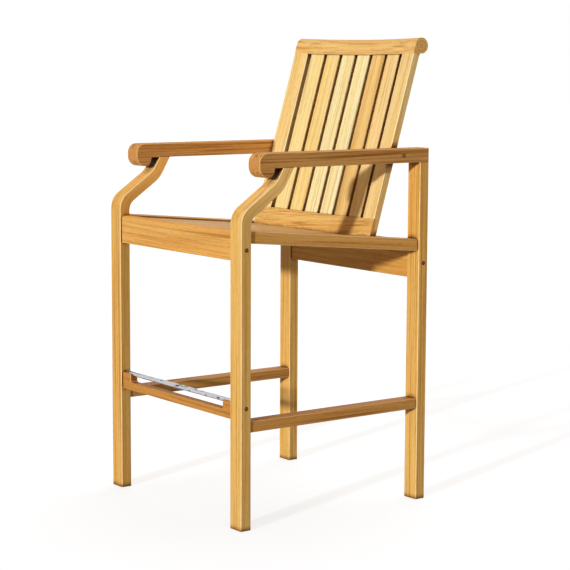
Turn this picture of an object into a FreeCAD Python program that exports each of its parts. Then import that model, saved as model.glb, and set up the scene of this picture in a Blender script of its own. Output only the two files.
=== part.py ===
import FreeCAD, Part
import os
from math import asin, cos, degrees, radians, sin, tan

# Bar chair with arms, in millimetres: X across the chair, Y from front to back, Z up from the floor.
# Pieces are drawn with Y measured from the front face of the front legs and centred at the end.
# Left and right are as seen from the front; right is +X.

V = FreeCAD.Vector

# Fits and eased edges
FIT = 0.15              # clearance on each face of a joint
EASE = 1.5              # flat taken off the long edges of a board
SOFT = 1.0              # the same on thin boards

# Legs
LEG_W = 48.0
LEG_D = 30.0
CLEAR_SPAN = 518.0      # between left and right legs
BASE_DEPTH = 597.0      # front of the front legs to rear of the rear legs
INNER = CLEAR_SPAN / 2
OUTER = INNER + LEG_W
LEG_MID = INNER + LEG_W / 2
REAR_FACE = BASE_DEPTH - LEG_D

# Seat
RAIL_TOP = 749.0        # line of the rail tops at the front face of the legs
SEAT_FALL = 5.35        # degrees, down to the rear
RAIL_H = 31.0
RAIL_W = 42.0
RAIL_TENON_H = 16.0
RAIL_TENON_W = 20.0
RAIL_TENON_L = 16.0
SLAT_BELOW = 6.0        # seat slats below the tops of the side rails
SEAT_SLATS = 8
SEAT_SLAT_W = 56.0
SEAT_SLAT_T = 18.0
SLAT_NOTCH = 2.75       # slats let down over the rear apron
TONGUE_T = 8.0
TONGUE_L = 8.0

# Aprons
APRON_T = 22.0
APRON_SET = 5.0         # behind the front face of the legs
APRON_BELOW = 5.0       # front apron below the line of the rail tops
FRONT_APRON_H = 73.0
APRON_NOSE_R = 8.0
REAR_APRON_H = 83.0
APRON_TENON_T = 11.0
APRON_TENON_H = 32.0
APRON_TENON_L = 20.0

# Swept upper half of a front leg
BEND_UP = 39.0          # above the seat, where the front face leaves the vertical
SWEEP_ANGLE = 34.6      # from the horizontal
SWEEP_T = 28.5
HEAD_ANGLE = 60.0       # from the horizontal, where the leg meets the arm
HEAD_T = 28.5
HEAD_Y = 143.0          # middle of the leg under the arm
BEND_OUT_R = 50.0
BEND_IN_R = 35.0
HEAD_IN_R = 57.0
HEAD_OUT_R = 83.0

# Arms
ARM_W = 48.0
ARM_T = 37.0
ARM_UP = 148.0          # underside of the arm above the seat
NOSE_SET = 54.0         # nose behind the front face of the leg
NOSE_R = 24.0
LOBE_W = 46.0           # lobe from front to back
LOBE_DROP = 23.5        # lobe below the underside of the arm
NOTCH_R = 4.5

# Tenons at the heads of the legs
HEAD_TENON_W = 28.0
HEAD_TENON_D = 14.0
HEAD_TENON_L = 20.0

# Footrest and stretchers
FOOT_BAR_BOTTOM = 275.0
FOOT_BAR_H = 21.0
FOOT_BLOCK_H = 44.5
FOOT_BLOCK_L = 39.5
FOOT_CORNER_R = 7.0
FOOT_TENON_H = 18.0
ROD_R = 6.0
ROD_BELOW = 1.5         # middle of the rod below the tops of the end blocks
ROD_LET_IN = 10.0       # rod ends inside the legs
STRETCHER_W = 41.0
STRETCHER_H = 27.0
STRETCHER_BOTTOM = 246.0

# Back frame, drawn upright and then leaned: local Y is depth through the back, local Z runs up the slope
LEAN = 16.7             # degrees from the vertical
BACK_IN = 144.6         # front face of the frame, at its ends, ahead of the rear of the legs
BACK_UP = 51.0          # top of the bottom rail above the seat slats
BOW = 15.0              # middle of the back behind its ends
FRAME_T = 21.0
STILE_W = 53.5
BACK_SLATS = 6
BACK_SLAT_W = 55.0
BACK_SLAT_T = 12.0
BACK_SLAT_SET = 2.3     # slats behind the face of the frame
BACK_SLAT_SIDE = 2.8    # wider gap beside each stile
HOUSING = 8.0           # depth of the slat ends in the rails
CREST_FROM = 446.0      # underside of the crest above the bottom rail
ROLL_R = 21.0
ROLL_MID = 472.5        # middle of the roll above the bottom rail
UNDER_ROLL_R = 20.0
STILE_TENON_L = 16.0
STILE_TENON_W = 36.0
STILE_TENON_T = 10.0
FOOT_TENON_L = 9.0      # stub tenon of a stile in the seat
FOOT_TENON_T = 6.0

# Screws under plugs
PLUG_R = 5.5
PLUG_T = 8.0
HEAD_H = 3.0            # flat head, as wide as the plug
SHANK_R = 2.4
BITE = 30.0             # screw in the second piece
FRONT_SCREW_DOWN = 44.0 # below the top of the front apron
FOOT_SCREW_DOWN = 10.0  # below the foot rod


def seat_line(y, below):
    return RAIL_TOP - below - tan(radians(SEAT_FALL)) * y


# Heights and places that follow from the sizes above
BEND_Z = RAIL_TOP + BEND_UP
ARM_UNDER = RAIL_TOP + ARM_UP
ARM_FACE = INNER + ARM_W
FRONT_MID = APRON_SET + APRON_T / 2
FRONT_APRON_TOP = RAIL_TOP - APRON_BELOW
FRONT_APRON_Z = FRONT_APRON_TOP - FRONT_SCREW_DOWN
REAR_MID = REAR_FACE + APRON_SET + APRON_T / 2
REAR_APRON_TOP = seat_line(REAR_FACE + APRON_SET, SLAT_BELOW + SEAT_SLAT_T) + SLAT_NOTCH
REAR_APRON_BOTTOM = REAR_APRON_TOP - REAR_APRON_H
REAR_APRON_Z = REAR_APRON_TOP - REAR_APRON_H / 2
REAR_LEG_MID = REAR_FACE + LEG_D / 2
ROD_Z = FOOT_BAR_BOTTOM + FOOT_BLOCK_H - ROD_BELOW
FOOT_TENON_Z = FOOT_BAR_BOTTOM + FOOT_BAR_H / 2
STRETCHER_Z = STRETCHER_BOTTOM + STRETCHER_H / 2
SEAT_RUN = V(0, cos(radians(SEAT_FALL)), -sin(radians(SEAT_FALL)))
RAIL_FRONT_Z = seat_line(LEG_D, RAIL_H / 2)
RAIL_REAR_Z = seat_line(REAR_FACE, RAIL_H / 2)
FRONT_TENON_Y = (LEG_D - RAIL_TENON_L, LEG_D)
REAR_TENON_Y = (REAR_FACE, REAR_FACE + RAIL_TENON_L)
BACK_Y = BASE_DEPTH - BACK_IN
BACK_Z = seat_line(BACK_Y, SLAT_BELOW) + BACK_UP
BOW_R = (INNER ** 2 + BOW ** 2) / (2 * BOW)
STILE_IN = INNER - STILE_W
STILE_MID = INNER - STILE_W / 2
BELOW_RAIL = -2 * BACK_UP - FRAME_T     # members of the back are drawn down to here and trimmed on the seat
ARM_SCREW_Z = ARM_UNDER + ARM_T / 2
ARM_SCREW_Y = BACK_Y + (ARM_SCREW_Z - BACK_Z) * tan(radians(LEAN)) + FRAME_T / 2
LEG_SCREWS = [(FRONT_MID, FRONT_APRON_Z), (FRONT_MID, ROD_Z - FOOT_SCREW_DOWN), (REAR_MID, REAR_APRON_Z)]
ROLL_REAR = BACK_Y + ROLL_MID * sin(radians(LEAN)) + (BOW + ROLL_R) * cos(radians(LEAN)) + ROLL_R
CENTRE_Y = ROLL_REAR / 2


# Shapes used by several pieces

def box(x, y, z):
    return Part.makeBox(x[1] - x[0], y[1] - y[0], z[1] - z[0], V(x[0], y[0], z[0]))


def around(middle, size):
    return (middle - size / 2, middle + size / 2)


def grown(span):
    return (span[0] - FIT, span[1] + FIT)


def outline(corners):
    """Closed wire in the YZ plane from (y, z, corner radius)."""
    bends = []
    for i, (y, z, radius) in enumerate(corners):
        here = V(0, y, z)
        before = corners[i - 1]
        after = corners[(i + 1) % len(corners)]
        back = (V(0, before[0], before[1]) - here).normalize()
        ahead = (V(0, after[0], after[1]) - here).normalize()
        half = back.getAngle(ahead) / 2
        reach = radius / tan(half)
        crown = (back + ahead).normalize() * (radius / sin(half) - radius)
        bends.append((here + back * reach, here + crown, here + ahead * reach))
    edges = []
    for i, (start, crown, end) in enumerate(bends):
        if start.distanceToPoint(end) > 1e-6:
            edges.append(Part.Arc(start, crown, end).toShape())
        onward = bends[(i + 1) % len(bends)][0]
        if end.distanceToPoint(onward) > 1e-6:
            edges.append(Part.makeLine(end, onward))
    return Part.Wire(edges)


def prism(corners, x):
    face = Part.Face(outline(corners))
    face.translate(V(x[0], 0, 0))
    return face.extrude(V(x[1] - x[0], 0, 0))


def eased(shape, flat, wanted):
    return shape.makeChamfer(flat, [edge for edge in shape.Edges if wanted(edge)])


def runs_along(edge, direction):
    ends = [vertex.Point for vertex in edge.Vertexes]
    return len(ends) == 2 and abs((ends[1] - ends[0]).normalize().dot(direction)) > 0.98


def mirrored(shape):
    return shape.mirror(V(0, 0, 0), V(1, 0, 0))


def meet(y1, z1, angle1, y2, z2, angle2):
    """Corner where two sloping lines of the YZ plane cross."""
    slope1 = tan(radians(angle1))
    slope2 = tan(radians(angle2))
    y = (z2 - z1 + slope1 * y1 - slope2 * y2) / (slope1 - slope2)
    return y, z1 + slope1 * (y - y1)


# Screws, plugs and their holes, driven in X through the outer face at +X

def screw(face_x, y, z):
    start = face_x - PLUG_T
    head = Part.makeCylinder(PLUG_R, HEAD_H, V(start, y, z), V(-1, 0, 0))
    shank = Part.makeCylinder(SHANK_R, start - INNER + BITE, V(start, y, z), V(-1, 0, 0))
    return head.fuse(shank).removeSplitter()


def plug(face_x, y, z):
    return Part.makeCylinder(PLUG_R, PLUG_T, V(face_x, y, z), V(-1, 0, 0))


def screw_hole(face_x, y, z):
    mouth = Part.makeCylinder(PLUG_R + FIT, PLUG_T + HEAD_H + FIT, V(face_x, y, z), V(-1, 0, 0))
    bore = Part.makeCylinder(SHANK_R + FIT, face_x - INNER + BITE + FIT, V(face_x, y, z), V(-1, 0, 0))
    return mouth.fuse(bore)


def leg_screw_holes():
    holes = screw_hole(OUTER, *LEG_SCREWS[0])
    for y, z in LEG_SCREWS[1:]:
        holes = holes.fuse(screw_hole(OUTER, y, z))
    return holes


def both_sides(shapes):
    return Part.makeCompound(shapes + [mirrored(shape) for shape in shapes])


def leg_screws():
    return both_sides([screw(OUTER, y, z) for y, z in LEG_SCREWS])


def leg_plugs():
    return both_sides([plug(OUTER, y, z) for y, z in LEG_SCREWS])


def arm_screws():
    return both_sides([screw(ARM_FACE, ARM_SCREW_Y, ARM_SCREW_Z)])


def arm_plugs():
    return both_sides([plug(ARM_FACE, ARM_SCREW_Y, ARM_SCREW_Z)])


# Tenons of the right side, each the same in the piece and in its mortise apart from the fit

def apron_tenon(y, z, height, sizing):
    x = (INNER, INNER + APRON_TENON_L)
    return box(sizing(x), sizing(around(y, APRON_TENON_T)), sizing(around(z, height)))


def rail_tenon(y, z, sizing):
    return box(sizing(around(LEG_MID, RAIL_TENON_W)), sizing(y), sizing(around(z, RAIL_TENON_H)))


def head_tenon(y, sizing):
    across = around(LEG_MID, HEAD_TENON_W)
    return box(sizing(across), sizing(around(y, HEAD_TENON_D)), sizing((ARM_UNDER, ARM_UNDER + HEAD_TENON_L)))


def as_drawn(span):
    return span


def foot_rod():
    length = CLEAR_SPAN + 2 * ROD_LET_IN
    return Part.makeCylinder(ROD_R, length, V(-length / 2, FRONT_MID, ROD_Z), V(1, 0, 0))


def rod_hole():
    length = CLEAR_SPAN + 2 * (ROD_LET_IN + FIT)
    return Part.makeCylinder(ROD_R + FIT, length, V(-length / 2, FRONT_MID, ROD_Z), V(1, 0, 0))


# Front leg: straight below the seat, swept back in an S up to the arm

def front_leg():
    half_head = HEAD_T / 2 / sin(radians(HEAD_ANGLE))
    head_front = HEAD_Y - half_head
    head_rear = HEAD_Y + half_head
    rear_bend_z = BEND_Z + LEG_D * tan(radians(SWEEP_ANGLE)) - SWEEP_T / cos(radians(SWEEP_ANGLE))
    inside = meet(0, BEND_Z, SWEEP_ANGLE, head_front, ARM_UNDER, HEAD_ANGLE)
    outside = meet(LEG_D, rear_bend_z, SWEEP_ANGLE, head_rear, ARM_UNDER, HEAD_ANGLE)
    corners = [
        (0, 0, 0),
        (0, BEND_Z, BEND_OUT_R),
        (inside[0], inside[1], HEAD_IN_R),
        (head_front, ARM_UNDER, 0),
        (head_rear, ARM_UNDER, 0),
        (outside[0], outside[1], HEAD_OUT_R),
        (LEG_D, rear_bend_z, BEND_IN_R),
        (LEG_D, 0, 0),
    ]
    leg = prism(corners, (INNER, OUTER))
    leg = eased(leg, EASE, lambda e: e.BoundBox.XLength < 0.1 and e.BoundBox.ZLength > 1)
    leg = leg.fuse(head_tenon(HEAD_Y, as_drawn)).removeSplitter()
    leg = leg.cut(apron_tenon(FRONT_MID, FRONT_APRON_Z, APRON_TENON_H, grown))
    leg = leg.cut(apron_tenon(FRONT_MID, FOOT_TENON_Z, FOOT_TENON_H, grown))
    leg = leg.cut(rail_tenon(FRONT_TENON_Y, RAIL_FRONT_Z, grown))
    leg = leg.cut(rail_tenon(FRONT_TENON_Y, STRETCHER_Z, grown))
    return leg.cut(rod_hole()).cut(leg_screw_holes())


# Rear leg: a straight post up to the arm

def rear_leg():
    leg = box((INNER, OUTER), (REAR_FACE, BASE_DEPTH), (0, ARM_UNDER))
    leg = eased(leg, EASE, lambda e: runs_along(e, V(0, 0, 1)))
    leg = leg.fuse(head_tenon(REAR_LEG_MID, as_drawn)).removeSplitter()
    leg = leg.cut(apron_tenon(REAR_MID, REAR_APRON_Z, APRON_TENON_H, grown))
    leg = leg.cut(rail_tenon(REAR_TENON_Y, RAIL_REAR_Z, grown))
    leg = leg.cut(rail_tenon(REAR_TENON_Y, STRETCHER_Z, grown))
    return leg.cut(leg_screw_holes())


# Arm: a straight board with a nose that rolls under

def arm():
    lobe_rear = NOSE_SET + LOBE_W
    rear_r = LOBE_DROP - NOTCH_R
    front_r = LOBE_W - rear_r
    corners = [
        (BASE_DEPTH, ARM_UNDER, 0),
        (BASE_DEPTH, ARM_UNDER + ARM_T, 0),
        (NOSE_SET, ARM_UNDER + ARM_T, NOSE_R),
        (NOSE_SET, ARM_UNDER - LOBE_DROP, front_r),
        (lobe_rear, ARM_UNDER - LOBE_DROP, rear_r),
        (lobe_rear, ARM_UNDER, NOTCH_R),
    ]
    board = prism(corners, (INNER, ARM_FACE))
    board = eased(board, EASE, lambda e: e.BoundBox.XLength < 0.1)
    board = board.cut(head_tenon(HEAD_Y, grown)).cut(head_tenon(REAR_LEG_MID, grown))
    return board.cut(screw_hole(ARM_FACE, ARM_SCREW_Y, ARM_SCREW_Z))


# Side rail of the seat and side stretcher, tenoned between the legs

def side_rail():
    top = [(y, seat_line(y, 0), 0) for y in (LEG_D, REAR_FACE)]
    bottom = [(y, seat_line(y, RAIL_H), 0) for y in (REAR_FACE, LEG_D)]
    rail = prism(top + bottom, (INNER, INNER + RAIL_W))
    rail = eased(rail, EASE, lambda e: runs_along(e, SEAT_RUN))
    rail = rail.fuse(rail_tenon(FRONT_TENON_Y, RAIL_FRONT_Z, as_drawn))
    return rail.fuse(rail_tenon(REAR_TENON_Y, RAIL_REAR_Z, as_drawn)).removeSplitter()


def side_stretcher():
    z = (STRETCHER_BOTTOM, STRETCHER_BOTTOM + STRETCHER_H)
    bar = box(around(LEG_MID, STRETCHER_W), (LEG_D, REAR_FACE), z)
    bar = eased(bar, EASE, lambda e: runs_along(e, V(0, 1, 0)))
    bar = bar.fuse(rail_tenon(FRONT_TENON_Y, STRETCHER_Z, as_drawn))
    return bar.fuse(rail_tenon(REAR_TENON_Y, STRETCHER_Z, as_drawn)).removeSplitter()


# Aprons: tenoned and screwed between the legs

def with_end_tenons(board, y, z, height):
    tenon = apron_tenon(y, z, height, as_drawn)
    board = board.fuse(tenon).fuse(mirrored(tenon)).removeSplitter()
    return board.cut(leg_screw_holes()).cut(mirrored(leg_screw_holes()))


def tongue(x, sizing):
    z = seat_line(APRON_SET + APRON_T, SLAT_BELOW + SEAT_SLAT_T / 2)
    y = (APRON_SET + APRON_T - TONGUE_L, APRON_SET + APRON_T + FIT)
    return box(sizing(x), sizing(y), sizing(around(z, TONGUE_T)))


def front_apron():
    bottom = FRONT_APRON_TOP - FRONT_APRON_H
    corners = [
        (APRON_SET, bottom, EASE),
        (APRON_SET, FRONT_APRON_TOP, APRON_NOSE_R),
        (APRON_SET + APRON_T, FRONT_APRON_TOP, 0),
        (APRON_SET + APRON_T, bottom, 0),
    ]
    board = prism(corners, (-INNER, INNER))
    for x in seat_slat_spans():
        board = board.cut(tongue(x, grown))
    return with_end_tenons(board, FRONT_MID, FRONT_APRON_Z, APRON_TENON_H)


def rear_apron():
    front = REAR_FACE + APRON_SET
    corners = [
        (front, REAR_APRON_BOTTOM, EASE),
        (front, REAR_APRON_TOP, 0),
        (front + APRON_T, REAR_APRON_TOP, 0),
        (front + APRON_T, REAR_APRON_BOTTOM, EASE),
    ]
    return with_end_tenons(prism(corners, (-INNER, INNER)), REAR_MID, REAR_APRON_Z, APRON_TENON_H)


# Seat slats: tongued into the front apron, notched over the rear apron

def seat_slat_spans():
    gap = (CLEAR_SPAN - SEAT_SLATS * SEAT_SLAT_W) / (SEAT_SLATS + 1)
    starts = [-INNER + gap + i * (SEAT_SLAT_W + gap) for i in range(SEAT_SLATS)]
    return [(start, start + SEAT_SLAT_W) for start in starts]


def on_seat(point):
    return abs(point.z - seat_line(point.y, SLAT_BELOW)) < FIT


def seat_slat(x):
    front = APRON_SET + APRON_T + FIT
    notch = REAR_FACE + APRON_SET - FIT
    rear = REAR_FACE + APRON_SET + APRON_T
    step = REAR_APRON_TOP + FIT
    corners = [
        (front, seat_line(front, SLAT_BELOW), 0),
        (rear, seat_line(rear, SLAT_BELOW), 0),
        (rear, step, 0),
        (notch, step, 0),
        (notch, seat_line(notch, SLAT_BELOW + SEAT_SLAT_T), 0),
        (front, seat_line(front, SLAT_BELOW + SEAT_SLAT_T), 0),
    ]
    slat = prism(corners, x)
    slat = eased(slat, EASE, lambda e: runs_along(e, SEAT_RUN) and on_seat(e.Vertexes[0].Point))
    slat = slat.fuse(tongue(x, as_drawn)).removeSplitter()
    return slat.cut(stile_foot(grown)).cut(mirrored(stile_foot(grown)))


def above_seat(offset):
    corners = [
        (0, seat_line(0, SLAT_BELOW) + offset, 0),
        (0, 2 * BACK_Z, 0),
        (2 * BASE_DEPTH, 2 * BACK_Z, 0),
        (2 * BASE_DEPTH, seat_line(2 * BASE_DEPTH, SLAT_BELOW) + offset, 0),
    ]
    return prism(corners, (-OUTER, OUTER))


# Back frame: every member follows one gentle bow and the whole frame leans

def bowed(x, depth, rise):
    axis = V(0, BOW - BOW_R, rise[0])
    height = rise[1] - rise[0]
    ring = Part.makeCylinder(BOW_R + depth[1], height, axis)
    ring = ring.cut(Part.makeCylinder(BOW_R + depth[0], height, axis))
    return ring.common(box(x, (-FRAME_T, 3 * FRAME_T), rise))


def leaned(shape):
    shape.rotate(V(0, 0, 0), V(1, 0, 0), -LEAN)
    shape.translate(V(0, BACK_Y, BACK_Z))
    return shape


def back_slat_spans():
    opening = 2 * (STILE_IN - BACK_SLAT_SIDE)
    gap = (opening - BACK_SLATS * BACK_SLAT_W) / (BACK_SLATS + 1)
    starts = [gap - opening / 2 + i * (BACK_SLAT_W + gap) for i in range(BACK_SLATS)]
    return [(start, start + BACK_SLAT_W) for start in starts]


def slat_blank(x, sizing):
    depth = (BACK_SLAT_SET, BACK_SLAT_SET + BACK_SLAT_T)
    return bowed(sizing(x), sizing(depth), sizing((-HOUSING, CREST_FROM + HOUSING)))


def back_slat(x):
    return leaned(eased(slat_blank(x, as_drawn), SOFT, lambda e: runs_along(e, V(0, 0, 1))))


def stile_tenon(sizing):
    depth = around(FRAME_T / 2, STILE_TENON_T)
    rise = (CREST_FROM, CREST_FROM + STILE_TENON_L)
    return bowed(sizing(around(STILE_MID, STILE_TENON_W)), sizing(depth), sizing(rise))


def stile_foot(sizing):
    depth = around(FRAME_T * 3 / 4, FOOT_TENON_T)
    tenon = bowed(sizing(around(STILE_MID, STILE_TENON_W)), sizing(depth), (BELOW_RAIL, 0))
    return leaned(tenon).common(above_seat(-sizing((0, FOOT_TENON_L))[1]))


def back_stile():
    stile = bowed((STILE_IN, INNER), (0, FRAME_T), (BELOW_RAIL, CREST_FROM))
    stile = eased(stile, EASE, lambda e: runs_along(e, V(0, 0, 1)) and e.BoundBox.ZLength > 100)
    stile = stile.cut(bowed((0, OUTER), (-FRAME_T, FRAME_T / 2 + FIT), (BELOW_RAIL, FIT)))
    stile = stile.fuse(stile_tenon(as_drawn)).removeSplitter()
    stile = leaned(stile).common(above_seat(FIT))
    stile = stile.fuse(stile_foot(as_drawn)).removeSplitter()
    return stile.cut(screw_hole(ARM_FACE, ARM_SCREW_Y, ARM_SCREW_Z))


def back_bottom_rail():
    rail = bowed((-INNER, INNER), (0, FRAME_T), (BELOW_RAIL, 0))
    lap = bowed((STILE_IN - FIT, OUTER), (FRAME_T / 2, 2 * FRAME_T), (BELOW_RAIL, 0))
    rail = rail.cut(lap).cut(mirrored(lap))
    for x in back_slat_spans():
        rail = rail.cut(slat_blank(x, grown))
    return leaned(rail).common(above_seat(FIT))


def crest_rail():
    corners = [
        (0, CREST_FROM + FIT, 0),
        (0, ROLL_MID + ROLL_R, ROLL_R),
        (2 * ROLL_R, ROLL_MID + ROLL_R, ROLL_R),
        (2 * ROLL_R, ROLL_MID - UNDER_ROLL_R, UNDER_ROLL_R),
        (FRAME_T, ROLL_MID - UNDER_ROLL_R, 0),
        (FRAME_T, CREST_FROM + FIT, 0),
    ]
    profile = Part.Face(outline(corners))
    profile.translate(V(0, BOW, 0))
    axis = V(0, BOW - BOW_R, 0)
    swing = degrees(asin(INNER / BOW_R)) + 1
    profile.rotate(axis, V(0, 0, 1), -swing)
    crest = profile.revolve(axis, V(0, 0, 1), 2 * swing)
    crest = crest.common(box((-INNER, INNER), (-FRAME_T, 4 * FRAME_T), (0, ROLL_MID + 2 * ROLL_R)))
    for x in back_slat_spans():
        crest = crest.cut(slat_blank(x, grown))
    crest = crest.cut(stile_tenon(grown)).cut(mirrored(stile_tenon(grown)))
    return leaned(crest)


# Front stretcher: a low bar with raised end blocks that carry the foot rod

def front_stretcher():
    low = FOOT_BAR_BOTTOM + FOOT_BAR_H
    high = FOOT_BAR_BOTTOM + FOOT_BLOCK_H
    block = INNER - FOOT_BLOCK_L
    corners = [
        (-INNER, FOOT_BAR_BOTTOM, 0),
        (-INNER, high, 0),
        (-block, high, 0),
        (-block, low, FOOT_CORNER_R),
        (block, low, FOOT_CORNER_R),
        (block, high, 0),
        (INNER, high, 0),
        (INNER, FOOT_BAR_BOTTOM, 0),
    ]
    bar = prism(corners, (-APRON_SET - APRON_T, -APRON_SET))
    bar.rotate(V(0, 0, 0), V(0, 0, 1), -90)
    bar = eased(bar, SOFT, lambda e: e.BoundBox.YLength < 0.1 and e.BoundBox.XLength > 1)
    return with_end_tenons(bar, FRONT_MID, FOOT_TENON_Z, FOOT_TENON_H).cut(rod_hole())


# The whole chair, one file for each piece

pieces = {
    "front_apron": front_apron(),
    "rear_apron": rear_apron(),
    "front_stretcher": front_stretcher(),
    "foot_rod": foot_rod(),
    "crest_rail": crest_rail(),
    "back_bottom_rail": back_bottom_rail(),
    "leg_screws": leg_screws(),
    "leg_plugs": leg_plugs(),
    "arm_screws": arm_screws(),
    "arm_plugs": arm_plugs(),
}
for name, right in [
    ("front_leg", front_leg()),
    ("rear_leg", rear_leg()),
    ("arm", arm()),
    ("side_rail", side_rail()),
    ("side_stretcher", side_stretcher()),
    ("back_stile", back_stile()),
]:
    pieces[name + "_right"] = right
    pieces[name + "_left"] = mirrored(right)
for number, span in enumerate(seat_slat_spans(), 1):
    pieces["seat_slat_%d" % number] = seat_slat(span)
for number, span in enumerate(back_slat_spans(), 1):
    pieces["back_slat_%d" % number] = back_slat(span)

os.makedirs("parts", exist_ok=True)
for name, shape in pieces.items():
    shape.translate(V(0, -CENTRE_Y, 0))
    shape.exportStep("parts/%s.step" % name)
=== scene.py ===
from math import radians, tan

import bpy
from mathutils import Matrix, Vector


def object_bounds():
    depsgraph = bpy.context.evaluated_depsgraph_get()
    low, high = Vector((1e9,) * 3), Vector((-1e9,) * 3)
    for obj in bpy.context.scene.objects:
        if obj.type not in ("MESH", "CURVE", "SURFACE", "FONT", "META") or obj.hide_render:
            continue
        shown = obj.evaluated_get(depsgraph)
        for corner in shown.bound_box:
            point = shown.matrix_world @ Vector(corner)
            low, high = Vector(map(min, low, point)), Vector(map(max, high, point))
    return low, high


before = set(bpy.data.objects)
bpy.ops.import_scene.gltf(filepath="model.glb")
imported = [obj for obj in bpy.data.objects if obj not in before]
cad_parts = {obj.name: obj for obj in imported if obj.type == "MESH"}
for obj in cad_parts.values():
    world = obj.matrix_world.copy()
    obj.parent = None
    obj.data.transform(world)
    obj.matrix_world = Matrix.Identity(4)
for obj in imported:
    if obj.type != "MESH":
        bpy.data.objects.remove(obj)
solid_low, solid_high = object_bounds()


# Front legs: teak planks, straight up to the seat, then swept back in an S with the grain along the sweep.
# Their heads are tenoned up into the arms, and the rails, aprons and footrest are tenoned into them.
# Every arris is planed off flat and is painted paler than the faces, partly paled by use and partly as a
# painted highlight.

def linear(red, green, blue):
    """A colour as the eye reads it, 0 to 255, in the values that the shader takes."""
    shares = [level / 255 for level in (red, green, blue)]
    return tuple(s / 12.92 if s <= 0.04045 else ((s + 0.055) / 1.055) ** 2.4 for s in shares)


def tinted(colour, red, green, blue):
    return tuple(min(1.0, c * t) for c, t in zip(colour, (red, green, blue))) + (1.0,)


def grey(level):
    return (level, level, level, 1.0)


def feed(tree, kind, inputs, **options):
    """One node with its options set and each input fed by a value or by another node's output."""
    made = tree.nodes.new(kind)
    for option, value in options.items():
        setattr(made, option, value)
    for socket, value in inputs.items():
        if isinstance(value, bpy.types.NodeSocket):
            tree.links.new(value, made.inputs[socket])
        else:
            made.inputs[socket].default_value = value
    return made


def number(tree, operation, *values):
    """The result of one sum on plain numbers."""
    return feed(tree, "ShaderNodeMath", dict(enumerate(values)), operation=operation).outputs[0]


def vector(tree, operation, *values):
    """The outputs of one sum on places or directions."""
    return feed(tree, "ShaderNodeVectorMath", dict(enumerate(values)), operation=operation).outputs


def weighted(tree, start, parts):
    """A start value plus a weighted sum of (output, weight) pairs."""
    total = start
    for output, weight in parts:
        total = number(tree, "MULTIPLY_ADD", output, weight, total)
    return total


def along(tree, place, axis):
    """How far a place or direction reaches along one axis."""
    return feed(tree, "ShaderNodeSeparateXYZ", {0: place}).outputs[axis]


def turned(tree, place, turn, kind="POINT", **moved):
    """A place or direction turned by that many degrees about each axis, and moved if asked."""
    inputs = {"Vector": place, "Rotation": [radians(angle) for angle in turn], **moved}
    return feed(tree, "ShaderNodeMapping", inputs, vector_type=kind).outputs["Vector"]


def stretched(tree, board, scale, detail):
    """Noise with that many cycles to the metre along each axis of the board."""
    drawn = feed(tree, "ShaderNodeMapping", {"Vector": board, "Scale": scale}).outputs["Vector"]
    return feed(tree, "ShaderNodeTexNoise", {"Vector": drawn, "Scale": 1.0, "Detail": detail}).outputs


def streaks(tree, board, across, along_grain, detail):
    """Noise drawn out along the grain, with that many cycles to the metre across and along it."""
    return stretched(tree, board, (across, across, along_grain), detail)["Fac"]


def ramp(tree, value, stops):
    made = feed(tree, "ShaderNodeValToRGB", {"Fac": value})
    band = made.color_ramp
    while len(band.elements) < len(stops):
        band.elements.new(0.5)
    for element, (place, colour) in zip(band.elements, stops):
        element.position = place
        element.color = colour
    return made.outputs["Color"]


def mixed(tree, share, first, second, how="MIX"):
    made = feed(tree, "ShaderNodeMix", {0: share, 6: first, 7: second},
                data_type="RGBA", blend_type=how, clamp_result=True)
    return made.outputs[2]


def layered(tree, colour, *layers):
    """A colour with darkening layers laid over it, one after another."""
    for layer in layers:
        colour = mixed(tree, 1.0, colour, layer, "MULTIPLY")
    return colour


def steepness(tree, direction, axis):
    """How squarely a face looks along one axis, from 0 to 1."""
    return number(tree, "ABSOLUTE", along(tree, direction, axis))


def near_edge(tree, face, reach):
    """0 on a flat face, rising where an edge of the piece lies within reach."""
    rounded = feed(tree, "ShaderNodeBevel", {"Radius": reach}, samples=4).outputs["Normal"]
    return number(tree, "SUBTRACT", 1.0, vector(tree, "DOT_PRODUCT", rounded, face)["Value"])


def new_finish(name):
    """A fresh material with its node tree and its shader."""
    material = bpy.data.materials.new(name)
    material.use_nodes = True
    return material, material.node_tree, material.node_tree.nodes["Principled BSDF"]


def on_piece(tree):
    """Where a point lies in the chair's own frame."""
    return feed(tree, "ShaderNodeTexCoord", {}).outputs["Object"]


def facing(tree):
    return feed(tree, "ShaderNodeNewGeometry", {}).outputs["True Normal"]


def roughen(tree, shader, value, smoothest, roughest):
    level = feed(tree, "ShaderNodeMapRange", {"Value": value, "To Min": smoothest, "To Max": roughest})
    tree.links.new(level.outputs["Result"], shader.inputs["Roughness"])


def emboss(tree, shader, height, depth, strength):
    bump = feed(tree, "ShaderNodeBump", {"Strength": strength, "Distance": depth, "Height": height})
    tree.links.new(bump.outputs["Normal"], shader.inputs["Normal"])


DRIFT = (5.0, 5.0, 1.2)         # cycles to the metre in which the grain drifts sideways
WANDER = (0.022, 0.022, 0.0)    # metres that it drifts


def wandering(tree, board):
    """The board with its grain drifting a little from side to side."""
    drift = stretched(tree, board, DRIFT, 1.0)["Color"]
    return vector(tree, "MULTIPLY_ADD", drift, WANDER, board)["Vector"]


RING = 0.0055                   # one year's growth, in metres
RING_WAVER = (90, 3, 2.0)       # cycles to the metre across and along the grain, and detail


def late_wood(tree, grain, ring):
    """Growth rings round the heart of the log, dark at the end of each year."""
    across = vector(tree, "MULTIPLY", grain, (1, 1, 0))["Vector"]
    radius = vector(tree, "LENGTH", across)["Value"]
    growth = weighted(tree, 0.0, [(radius, 1 / ring), (streaks(tree, grain, *RING_WAVER), 0.6)])
    year = number(tree, "FRACT", growth)
    return ramp(tree, year, [(0.0, grey(0.1)), (0.5, grey(0.3)), (0.88, grey(0.9)), (1.0, grey(0.12))])


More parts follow.
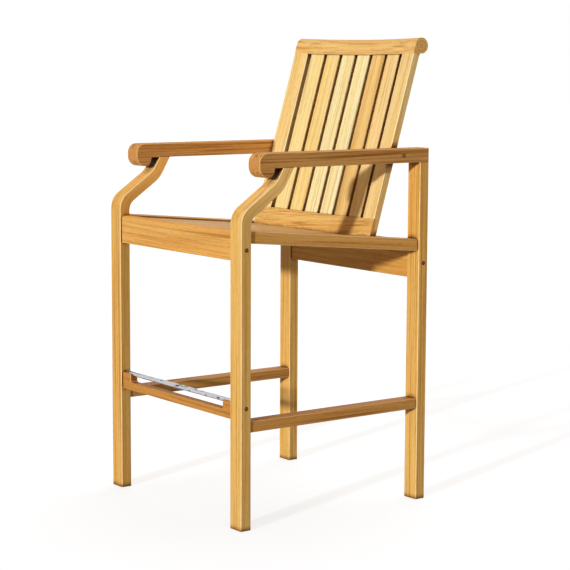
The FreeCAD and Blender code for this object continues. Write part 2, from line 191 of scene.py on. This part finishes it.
PATCHES = (34, 1.1, 1.5)        # again cycles across and along the grain, and detail
BROAD_BANDS = (105, 2.4, 2.0)
FINE_BANDS = (210, 3.6, 2.5)
VEINS = (150, 1.8, 1.5)
VEIN_LOSS = (0.42, 0.54, 0.66)  # red, green and blue that a full vein takes away
straw_shade = (0.91, 0.89, 0.85, 1)
amber_shade = (0.78, 0.69, 0.57, 1)
brown_shade = (0.56, 0.43, 0.3, 1)


def long_grain(tree, grain, tone, figure, late, fibre):
    """Bands of straw and amber and dark veins, on a tone that runs from yellow to red in patches."""
    broad = streaks(tree, grain, *BROAD_BANDS)
    fine = streaks(tree, grain, *FINE_BANDS)
    depth = weighted(tree, 0.36 - 0.76 * figure, [
        (late, 0.22 * figure), (broad, 0.75 * figure), (fine, 0.6 * figure), (fibre, 0.28),
    ])
    shade = ramp(tree, depth, [
        (0.15, grey(1.0)), (0.5, straw_shade), (0.78, amber_shade), (1.0, brown_shade),
    ])
    yellow = tinted(tone, 1.1, 1.18, 1.28)
    red = tinted(tone, 1.09, 1.07, 0.95)
    hue = ramp(tree, streaks(tree, grain, *PATCHES), [(0.36, yellow), (0.64, red)])
    vein_share = min(1.0, 0.45 * figure)
    vein = tuple(1 - vein_share * loss for loss in VEIN_LOSS) + (1.0,)
    veins = ramp(tree, streaks(tree, grain, *VEINS), [(0.6 - 0.025 * figure, grey(1.0)), (0.70, vein)])
    return layered(tree, hue, shade, veins)


# Painted light: above a given height the wood is tinted lighter, standing in for light falling on the sweep.
SWEEP_LIGHT_TINT = (1.3, 1.34, 1.6, 1)
SWEEP_LIGHT_FADE = 0.07              # metres over which the painted light sets in


def painted_sweep_light(tree, wood, place, handled):
    """The wood painted lighter above the given height, as painted light."""
    lightening = feed(tree, "ShaderNodeMapRange", {
        "Value": along(tree, place, "Z"), "From Min": handled, "From Max": handled + SWEEP_LIGHT_FADE,
    }).outputs["Result"]
    return mixed(tree, lightening, wood, SWEEP_LIGHT_TINT, "MULTIPLY")


def end_grain(tree, wood, face, turn, tone, late):
    """Darker rings where the board is cut across."""
    cut_across = steepness(tree, turned(tree, face, turn, "VECTOR"), "Z")
    share = ramp(tree, cut_across, [(0.88, grey(0)), (0.97, grey(0.75))])
    early_ring = tinted(tone, 1.04, 0.97, 0.86)
    late_ring = tinted(tone, 0.7, 0.57, 0.43)
    return mixed(tree, share, wood, ramp(tree, late, [(0.2, early_ring), (0.8, late_ring)]))


# Arris paling: partly paled by use, partly a painted highlight in pale straw.
ARRIS_REACH = 0.002
PALING_PATCHES = (30, 30, 2.0)
wear_and_highlight_straw = linear(255, 240, 192)


def worn_edges(tree, wood, face, place, open_air, tone, edges, worn):
    """Each arris out of the gaps, painted paler from the board's own gold towards straw, partly paled by use
    and partly as a painted highlight.
    """
    arris = ramp(tree, steepness(tree, face, "X"), [
        (0.55, grey(0)), (0.64, grey(1.0)), (0.8, grey(1.0)), (0.9, grey(0)),
    ])
    if edges == "rubbed_and_highlit":
        sharp = ramp(tree, near_edge(tree, face, ARRIS_REACH), [(0.03, grey(0)), (0.2, grey(0.5))])
        arris = mixed(tree, 1.0, arris, sharp, "LIGHTEN")
    patchy_paling = ramp(tree, streaks(tree, place, *PALING_PATCHES), [(0.35, grey(0.7)), (0.6, grey(1.0))])
    out_of_gaps = ramp(tree, open_air, [(0.5, grey(0)), (0.75, grey(1.0))])
    gold = tinted(tone, 1.3, 1.4, 1.7)
    paled = tuple(own + worn * (straw - own) for own, straw in zip(gold, wear_and_highlight_straw)) + (1.0,)
    return mixed(tree, layered(tree, arris, patchy_paling, out_of_gaps), wood, paled)


GAP_EDGE_SHADE_REACH = 0.0035
gap_edge_shade = (0.38, 0.2, 0.07, 1)
darkest_gap_shade = (0.07, 0.022, 0.004, 1)
dark_gap_shade = (0.17, 0.075, 0.02, 1)
faint_gap_shade = (0.33, 0.2, 0.1, 1)


def shaded_in_gaps(tree, wood, face, open_air, edges, grime):
    """The wood with painted shade in its gaps and corners, and along its edges beside a gap."""
    # Painted shade: a dark band along the edges beside a gap, widening the gap's shade.
    if edges == "gap_shaded":
        beside_gap = near_edge(tree, face, GAP_EDGE_SHADE_REACH)
        wood = layered(tree, wood, ramp(tree, beside_gap, [(0.004, grey(1.0)), (0.05, gap_edge_shade)]))
    # Painted shade: ambient occlusion darkens the wood in gaps and corners.
    painted_gap_shade = ramp(tree, open_air, [
        (0.2 * grime, darkest_gap_shade), (0.48 * grime, dark_gap_shade),
        (0.57 * grime, faint_gap_shade), (0.7 * grime, grey(1.0)),
    ])
    return layered(tree, wood, painted_gap_shade)


FIBRE = (1000, 14, 2.0)
PORES = (1500, 45, 2.0)
PORE_DEPTH = 0.0004
GAP_REACH = 0.03                # metres within which a neighbour makes a gap or corner
OILED = 0.12                    # specular level
OILED_ROUGH = (0.45, 0.65)


def teak(name, tone, turn, heart, figure, ring=RING, follow=None, handled=None,
         edges="rubbed_and_highlit", worn=0.5, grime=1.0):
    """Oiled teak for one board. turn, in degrees, brings its grain upright, heart is how far it then lies
    from the heart of its log, figure is how strongly it is banded, and ring is one year's growth.
    follow bends the grain along a curved piece, and above the given height the wood is painted lighter, as
    painted light.
    Sharp edges are made paler in a wider band, partly from use and partly as a painted highlight, left
    plain, or darkened beside a gap as painted shade.
    The arris paling sets how far an arris is painted towards straw, partly from use and partly as a painted
    highlight, and the gap shade spread sets how far painted shade spreads out of the gaps."""
    material, tree, shader = new_finish(name)
    place = on_piece(tree)
    face = facing(tree)
    if follow:
        place = follow(tree, place)
    grain = wandering(tree, turned(tree, place, turn, Location=heart))
    late = late_wood(tree, grain, ring)
    fibre = streaks(tree, grain, *FIBRE)
    pores = ramp(tree, streaks(tree, grain, *PORES), [(0.56, grey(1.0)), (0.68, grey(0.68))])
    wood = layered(tree, long_grain(tree, grain, tone, figure, late, fibre), pores)
    if handled:
        wood = painted_sweep_light(tree, wood, place, handled)
    wood = end_grain(tree, wood, face, turn, tone, late)
    open_air = feed(tree, "ShaderNodeAmbientOcclusion", {"Distance": GAP_REACH}, samples=8).outputs["AO"]
    wood = worn_edges(tree, wood, face, place, open_air, tone, edges, worn)
    wood = shaded_in_gaps(tree, wood, face, open_air, edges, grime)
    tree.links.new(wood, shader.inputs["Base Color"])
    shader.inputs["Specular IOR Level"].default_value = OILED
    roughen(tree, shader, fibre, *OILED_ROUGH)
    relief = weighted(tree, 0.0, [(fibre, 0.6), (pores, 0.5), (late, -0.2)])
    emboss(tree, shader, relief, PORE_DEPTH, 0.3)
    return material


def finish_node(node, material):
    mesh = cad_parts[node].data
    mesh.materials.clear()
    mesh.materials.append(material)


def teak_board(node, tone, turn, heart, **looks):
    finish_node(node, teak(node + "_teak", tone, turn, heart, **looks))


SWEEP_FROM = 0.781      # height where the middle of the leg starts to lean back
HEAD_FROM = 0.851       # height where it steepens again under the arm
SWEEP_RUN = 1 / tan(radians(34.6))
HEAD_RUN = 1 / tan(radians(60))
BEND_EASE = 0.03


def along_sweep(tree, place):
    """The leg with its sweep taken out, so that the grain runs along it."""
    height = along(tree, place, "Z")
    leans = []
    for start, run in ((SWEEP_FROM, SWEEP_RUN), (HEAD_FROM, HEAD_RUN - SWEEP_RUN)):
        above = number(tree, "SUBTRACT", height, start)
        leans.append((number(tree, "SMOOTH_MAX", above, 0.0, BEND_EASE), -run))
    back = feed(tree, "ShaderNodeCombineXYZ", {"Y": weighted(tree, 0.0, leans)}).outputs["Vector"]
    return vector(tree, "ADD", place, back)["Vector"]


UPRIGHT = (0, 0, 0)
left_leg_gold = linear(223, 172, 92)
right_leg_gold = linear(230, 184, 107)
for node, gold, heart in (
    ("front_leg_left", left_leg_gold, (0.38, 0.40, 0.2)),
    ("front_leg_right", right_leg_gold, (-0.17, 0.42, 0.9)),
):
    # Above SWEEP_FROM both legs are painted lighter, as painted light on the sweep.
    teak_board(node, gold, UPRIGHT, heart, figure=1.3, follow=along_sweep, handled=SWEEP_FROM, edges="plain")


# Rear legs: straight teak posts, tenoned up into the arms behind the back.
# They are sawn from the same stock as the front legs, and more strongly banded.

rear_leg_gold = linear(228, 178, 97)
for side, heart in (("left", (0.39, -0.17, 1.7)), ("right", (-0.18, -0.15, 0.4))):
    teak_board("rear_leg_" + side, rear_leg_gold, UPRIGHT, heart, figure=1.7, edges="plain")


# Side rails of the seat: teak boards on the flat that fall to the rear.
# They are tenoned into both legs, and the grain runs from front to back.

ALONG_SEAT = (95.35, 0, 0)
side_rail_gold = linear(220, 162, 86)
for side, heart in (("left", (0.38, 0.84, 0.3)), ("right", (-0.17, 0.85, 0.8))):
    teak_board("side_rail_" + side, side_rail_gold, ALONG_SEAT, heart, figure=1.7)


# Side stretchers: low teak bars between the legs that brace the frame.
# They are tenoned like the rails and are a browner cut than the legs, little paled at the edges.

LEVEL_BACK = (90, 0, 0)
# Slight arris paling, partly from use and partly painted highlight, on the stretchers and arms.
LITTLE_PALING = 0.1
stretcher_brown = linear(204, 148, 79)
for side, heart in (("left", (0.38, 0.36, 0.5)), ("right", (-0.17, 0.35, 0.1))):
    teak_board("side_stretcher_" + side, stretcher_brown, LEVEL_BACK, heart, figure=2.2, worn=LITTLE_PALING)


# Aprons: deep teak boards across the front and the rear that carry the seat slats.
# Both are tenoned and screwed into the legs, and the front one has a rounded top edge.

LEVEL_ACROSS = (0, -90, 0)
teak_board("front_apron", linear(226, 170, 93), LEVEL_ACROSS, (0.92, 0.36, 0.6), figure=1.6)
teak_board("rear_apron", linear(224, 166, 86), LEVEL_ACROSS, (0.86, -0.21, 0.2), figure=1.6)


# Footrest: a teak bar with a raised block at each end, tenoned and screwed between the front legs.
# The blocks are hollowed for half of the metal rod, which takes the wear of the shoes.

teak_board("front_stretcher", linear(198, 137, 65), LEVEL_ACROSS, (0.48, 0.36, 0.4), figure=2.0)


# Foot rod: a polished stainless rod above the bar, let into both front legs.
# It is drawn bar, so faint lines run along it, shoes have dulled it, and it carries dark patches of painted
# reflection.

DRAWN_LINES = (1600, 8, 2.0)
SCUFFS = (90, 40, 3.0)
DARK_REFLECTION_PATCHES = (95, 36, 2.5)
dull_steel = (0.42, 0.43, 0.46, 1)
bright_steel = (0.74, 0.75, 0.78, 1)


def polished_rod():
    material, tree, shader = new_finish("polished_rod_steel")
    drawn = turned(tree, on_piece(tree), LEVEL_ACROSS)
    lines = streaks(tree, drawn, *DRAWN_LINES)
    scuffs = streaks(tree, drawn, *SCUFFS)
    tone = weighted(tree, 0.0, [(lines, 0.4), (scuffs, 0.6)])
    steel = ramp(tree, tone, [(0.3, dull_steel), (0.7, bright_steel)])
    # Painted reflection: near-black patches stand in for dark surroundings mirrored in the rod.
    painted_reflections = ramp(tree, streaks(tree, drawn, *DARK_REFLECTION_PATCHES), [(0.585, grey(1.0)), (0.63, grey(0.08))])
    tree.links.new(layered(tree, steel, painted_reflections), shader.inputs["Base Color"])
    shader.inputs["Metallic"].default_value = 1.0
    dulled = ramp(tree, scuffs, [(0.42, grey(0)), (0.62, grey(1))])
    tree.links.new(weighted(tree, 0.1, [(lines, 0.1), (dulled, 0.22)]), shader.inputs["Roughness"])
    emboss(tree, shader, lines, 0.0002, 0.15)
    return material


finish_node("foot_rod", polished_rod())


# Seat slats: eight thin teak boards from front to back, tongued into the front apron.
# Their rear ends are notched over the rear apron, and each board has its own tone.

seat_tones = (
    (224, 182, 126), (214, 170, 115), (228, 188, 132), (218, 174, 118),
    (226, 184, 126), (212, 168, 114), (222, 180, 124), (218, 174, 120),
)
for slat, tone in enumerate(seat_tones, 1):
    heart = (0.45 + 0.03 * (slat % 3), 0.76 + 0.02 * slat, 0.37 * slat)
    teak_board("seat_slat_%d" % slat, linear(*tone), ALONG_SEAT, heart, figure=1.5)


# Back frame: two teak stiles and a bottom rail, bowed to the sitter's back.
# The rail is half lapped over the stiles, which stand on the seat and are screwed to the arms.

UP_BACK = (16.7, 0, 0)
FLAT_SAWN = (0, -86, 0)
# How far painted shade spreads out of the gaps in the back.
STRONG_GAP_SHADE = 1.2
stile_gold = linear(240, 206, 140)
for side, heart in (("left", (0.42, 0.12, 0.3)), ("right", (-0.06, 0.10, 0.8))):
    teak_board("back_stile_" + side, stile_gold, UP_BACK, heart, figure=1.2, grime=STRONG_GAP_SHADE)
teak_board("back_bottom_rail", linear(223, 179, 107), FLAT_SAWN, (0.80, -0.12, 0.5), figure=1.6)


# Back slats: six thin, pale teak boards housed in the bottom rail and the crest.
# Sapwood and heartwood boards are mixed, so the tones differ from slat to slat, and painted shade darkens
# the gaps and the slat edges beside them.

slat_tones = (
    (243, 216, 149), (241, 211, 142), (247, 229, 176),
    (248, 229, 178), (236, 198, 129), (243, 212, 152),
)
for slat, tone in enumerate(slat_tones, 1):
    heart = (0.42 - 0.03 * slat, 0.13 + 0.012 * slat, 0.29 * slat)
    teak_board("back_slat_%d" % slat, linear(*tone), UP_BACK, heart,
               figure=1.1, edges="gap_shaded", grime=STRONG_GAP_SHADE)


# Crest rail: one bowed teak board on the stiles' tenons, whose top rolls over to the rear.
# The roll is shaped in the solid round the heart of the log, so its ends show the rings cut across.

WIDE_RING = 0.009
middle_of_roll = (1.187, -0.2975, 0.7)
teak_board("crest_rail", linear(231, 186, 115), LEVEL_ACROSS, middle_of_roll, figure=1.4, ring=WIDE_RING)


# Arms: darker teak boards on edge over both legs, with noses that roll under at the front.
# They hold the heads of the legs on tenons and are screwed to the back through plugged holes.

arm_brown = linear(206, 151, 85)
for side, heart in (("left", (0.38, 1.08, 0.2)), ("right", (-0.17, 1.09, 0.6))):
    teak_board("arm_" + side, arm_brown, LEVEL_BACK, heart, figure=2.3, edges="plain", worn=LITTLE_PALING)


# Screws and plugs: steel screws draw the aprons, the footrest and the back up to the legs and arms.
# Short plugs of end grain cover them, sanded flush, with a dark ring of painted shade at the rim.

SPECKLE = (1300, 30, 2.0)
TURNING = (900, 900, 2.0)
RIM_SHADE_REACH = 0.005
SANDED = 0.1            # specular level
dark_steel = (0.38, 0.38, 0.40, 1)
light_steel = (0.56, 0.56, 0.58, 1)


def plug_teak(name, light, dark):
    material, tree, shader = new_finish(name)
    speckle = streaks(tree, turned(tree, on_piece(tree), LEVEL_ACROSS), *SPECKLE)
    colour = ramp(tree, speckle, [(0.3, light + (1,)), (0.7, dark + (1,))])
    # Painted shade: a dark ring at the rim, standing in for the shadow of a sunk plug.
    rim = ramp(tree, near_edge(tree, facing(tree), RIM_SHADE_REACH), [(0.001, grey(1.0)), (0.02, grey(0.05))])
    tree.links.new(layered(tree, colour, rim), shader.inputs["Base Color"])
    shader.inputs["Specular IOR Level"].default_value = SANDED
    roughen(tree, shader, speckle, 0.6, 0.8)
    emboss(tree, shader, speckle, PORE_DEPTH, 0.4)
    return material


def plain_screw():
    material, tree, shader = new_finish("screw_steel")
    turning = streaks(tree, on_piece(tree), *TURNING)
    colour = ramp(tree, turning, [(0.3, dark_steel), (0.7, light_steel)])
    tree.links.new(colour, shader.inputs["Base Color"])
    shader.inputs["Metallic"].default_value = 1.0
    roughen(tree, shader, turning, 0.3, 0.5)
    return material


finish_node("leg_plugs", plug_teak("leg_plug_teak", linear(160, 116, 70), linear(106, 70, 38)))
finish_node("arm_plugs", plug_teak("arm_plug_teak", linear(190, 138, 80), linear(140, 95, 50)))
screw_steel = plain_screw()
finish_node("leg_screws", screw_steel)
finish_node("arm_screws", screw_steel)


# Floor and backdrop: one plain pale sheet that the chair stands on.
# It reads white to the camera and in reflections, and keeps the soft shadow under the legs.

FLOOR_SIZE = 60
FLOOR_GLOW = 0.71       # brings the lit floor up to white where it is seen
white = (1, 1, 1, 1)
floor_paint = (0.42, 0.475, 0.56, 1)


def seen_directly(tree):
    """1 for a ray from the camera, a reflection or glass, and 0 for one that carries light to the chair."""
    path = feed(tree, "ShaderNodeLightPath", {}).outputs
    reflected = number(tree, "MAXIMUM", path["Is Camera Ray"], path["Is Glossy Ray"])
    return number(tree, "MAXIMUM", reflected, path["Is Transmission Ray"])


bpy.ops.mesh.primitive_plane_add(size=FLOOR_SIZE)
floor = bpy.context.object
floor.name = "floor"
pale_floor, floor_tree, paint = new_finish("pale_floor")
paint.inputs["Base Color"].default_value = floor_paint
paint.inputs["Roughness"].default_value = 0.9
paint.inputs["Specular IOR Level"].default_value = 0.0
paint.inputs["Emission Color"].default_value = white
glow = number(floor_tree, "MULTIPLY", seen_directly(floor_tree), FLOOR_GLOW)
floor_tree.links.new(glow, paint.inputs["Emission Strength"])
floor.data.materials.append(pale_floor)


# Light: a low key from the front, to the chair's right, and a broad, warm fill from above and behind.
# The room around them is dim and warm, brighter and paler overhead, and plain white where it is seen.

ROOM_LOW = 0.10
ROOM_HIGH = 0.5
warm_low = (1.0, 0.68, 0.40, 1)
warm_high = (1.0, 0.84, 0.68, 1)


def sun(name, energy, spread, height, side, colour=(1, 1, 1)):
    """A far lamp at that height above the horizon, turned to the side from straight in front, in degrees."""
    lamp = bpy.data.lights.new(name, "SUN")
    lamp.energy = energy
    lamp.color = colour
    lamp.angle = radians(spread)
    lamp_object = bpy.data.objects.new(name, lamp)
    lamp_object.rotation_euler = (radians(90 - height), 0, radians(side))
    bpy.context.collection.objects.link(lamp_object)


sun("key", energy=2.62, spread=3, height=11.5, side=19.4)
sun("fill", energy=1.1, spread=60, height=50, side=-150, colour=(1.0, 0.86, 0.72))

world = bpy.data.worlds.new("studio")
bpy.context.scene.world = world
world.use_nodes = True
room_tree = world.node_tree
background = room_tree.nodes["Background"]
rise = along(room_tree, feed(room_tree, "ShaderNodeTexCoord", {}).outputs["Generated"], "Z")
dim = feed(room_tree, "ShaderNodeMapRange", {"Value": rise, "To Min": ROOM_LOW, "To Max": ROOM_HIGH})
warmth = ramp(room_tree, rise, [(0.0, warm_low), (0.9, warm_high)])
seen = seen_directly(room_tree)
level = feed(room_tree, "ShaderNodeMix", {0: seen, 2: dim.outputs["Result"], 3: 1.0}).outputs[0]
room_tree.links.new(level, background.inputs["Strength"])
room_tree.links.new(mixed(room_tree, seen, warmth, white), background.inputs["Color"])


# Camera: a long lens a little above seat height, off the chair's front right corner.
# It is placed from the front face of the legs and looks slightly down.

CAMERA_RIGHT = 3.8102
CAMERA_AHEAD = 2.4509
CAMERA_HEIGHT = 1.1653
CAMERA_ROUND = 53.598   # degrees from straight in front
CAMERA_DOWN = 7.307
CAMERA_ROLL = 0.255

camera = bpy.data.objects.new("camera", bpy.data.cameras.new("camera"))
camera.data.sensor_width = 36
camera.data.lens = 111.95
camera.matrix_world = (
    Matrix.Translation((CAMERA_RIGHT, solid_low[1] - CAMERA_AHEAD, CAMERA_HEIGHT))
    @ Matrix.Rotation(radians(CAMERA_ROUND), 4, "Z")
    @ Matrix.Rotation(radians(90 - CAMERA_DOWN), 4, "X")
    @ Matrix.Rotation(radians(CAMERA_ROLL), 4, "Z")
)
bpy.context.collection.objects.link(camera)
bpy.context.scene.camera = camera
bpy.context.scene.view_settings.view_transform = "Standard"
